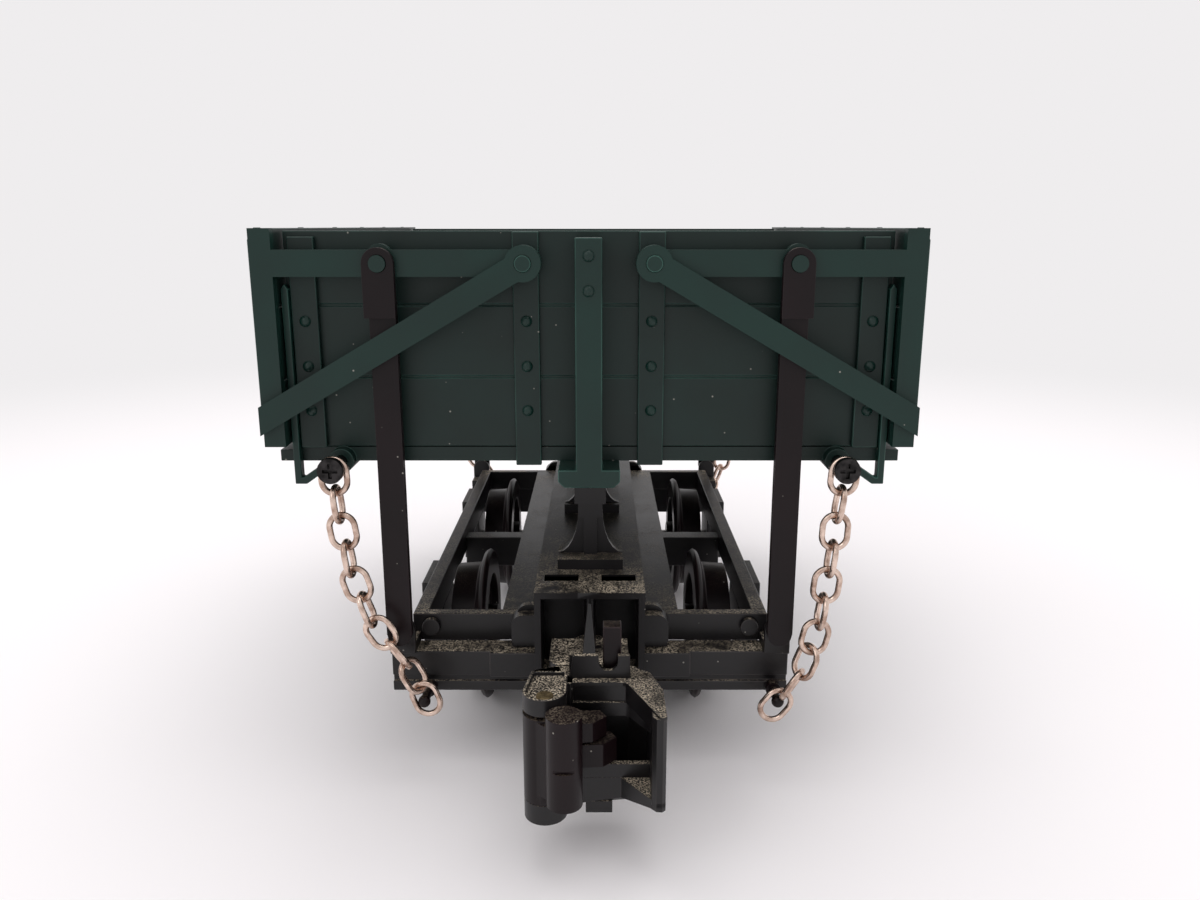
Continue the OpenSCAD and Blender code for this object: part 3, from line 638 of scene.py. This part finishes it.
def round_bar(mesh, x, z, middle, radius, length):
    """Adds a closed cylinder along the car, in mm."""
    place = Matrix.Translation(Vector((x, middle, z)) * MM) @ Matrix.Rotation(math.pi / 2, 4, "X")
    bmesh.ops.create_cone(
        mesh, cap_ends=True, segments=24, radius1=radius * MM, radius2=radius * MM,
        depth=length * MM, matrix=place,
    )


def chain_hooks(mesh):
    """Stub pins that end in a ball, which the last ring of each chain hangs on."""
    for x, z in HOOK_PLACES:
        for way in (-1, 1):
            middle = way * (HOOK_ROOT + HOOK_BALL) / 2
            round_bar(mesh, x, z, middle, PIN_RADIUS, HOOK_BALL - HOOK_ROOT)
            round_bar(mesh, x, z, way * (HOOK_ROOT + 1.2), COLLAR_RADIUS, COLLAR_LENGTH)
            ball = Matrix.Translation(Vector((x, way * HOOK_BALL, z)) * MM)
            bmesh.ops.create_uvsphere(
                mesh, u_segments=24, v_segments=14, radius=BALL_RADIUS * MM, matrix=ball
            )


hooks_mesh = bmesh.new()
chain_hooks(hooks_mesh)
hooks = finish_mesh("chain_hooks_moulding", hooks_mesh, CLEAN_BLACK_ABS)
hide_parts("chain_hooks")
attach(hooks, body_of_node("chain_hooks"))


# ---- Studio ----

BACKGROUND = "#EFEDEE"
PAPER = "#FAF7F8"
FLOOR_HALF = 8            # metres
FADE_FROM = 0.16          # metres from the car's middle, where the floor starts to melt away
FADE_TO = 0.55


def backdrop():
    """A wide pale floor that melts into the surroundings, so no horizon shows."""
    mesh = bmesh.new()
    bmesh.ops.create_grid(mesh, x_segments=1, y_segments=1, size=FLOOR_HALF)
    floor = finish_mesh("studio_floor", mesh, pale_floor())


def pale_floor():
    """Matt white paper, which far out turns to the colour of the surroundings."""
    made, tree, surface = material("matt_white_paper", 0.8)
    surface.inputs["Base Color"].default_value = srgb(PAPER)
    place = add(tree, "ShaderNodeTexCoord")
    away = add(tree, "ShaderNodeVectorMath", {"Vector": place.outputs["Object"]}, operation="LENGTH")
    far = add(
        tree, "ShaderNodeMapRange", {"Value": away.outputs["Value"]},
        interpolation_type="SMOOTHSTEP", From_Min=FADE_FROM, From_Max=FADE_TO,
    )
    glow = add(tree, "ShaderNodeEmission", Color=srgb(BACKGROUND))
    blend = add(
        tree, "ShaderNodeMixShader",
        {0: far.outputs["Result"], 1: surface.outputs[0], 2: glow.outputs[0]},
    )
    tree.links.new(blend.outputs[0], tree.nodes["Material Output"].inputs["Surface"])
    return made


def area_light(name, place, aim, size, power):
    """A soft square lamp that looks at a point."""
    data = bpy.data.lights.new(name, "AREA")
    data.size = size
    data.energy = power
    lamp = bpy.data.objects.new(name, data)
    bpy.context.scene.collection.objects.link(lamp)
    lamp.location = place
    lamp.rotation_euler = (Vector(aim) - Vector(place)).to_track_quat("-Z", "Y").to_euler()


def studio():
    """White surroundings with a wide lamp overhead and a weaker one in front."""
    world = bpy.data.worlds.new("white_room")
    bpy.context.scene.world = world
    world.use_nodes = True
    world.node_tree.nodes["Background"].inputs["Color"].default_value = srgb(BACKGROUND)
    world.node_tree.nodes["Background"].inputs["Strength"].default_value = 1
    area_light("overhead", (0.05, 0.12, 0.8), (0, 0, 0.05), 0.7, 2.1)
    area_light("front_left", (-0.5, -0.5, 0.6), (0, 0, 0.05), 0.4, 0.7)
    bpy.context.scene.view_settings.view_transform = "Standard"


def camera():
    """The camera close in front of the coupler, looking a little down."""
    data = bpy.data.cameras.new("camera")
    data.lens = 28.2
    data.sensor_width = 36
    data.clip_start = 0.01
    data.clip_end = 30
    eye = bpy.data.objects.new("camera", data)
    bpy.context.scene.collection.objects.link(eye)
    eye.location = (1.75 * MM, -206.3 * MM, 93.7 * MM)
    eye.rotation_euler = (math.radians(76.6), 0, 0)
    bpy.context.scene.camera = eye


backdrop()
studio()
camera()
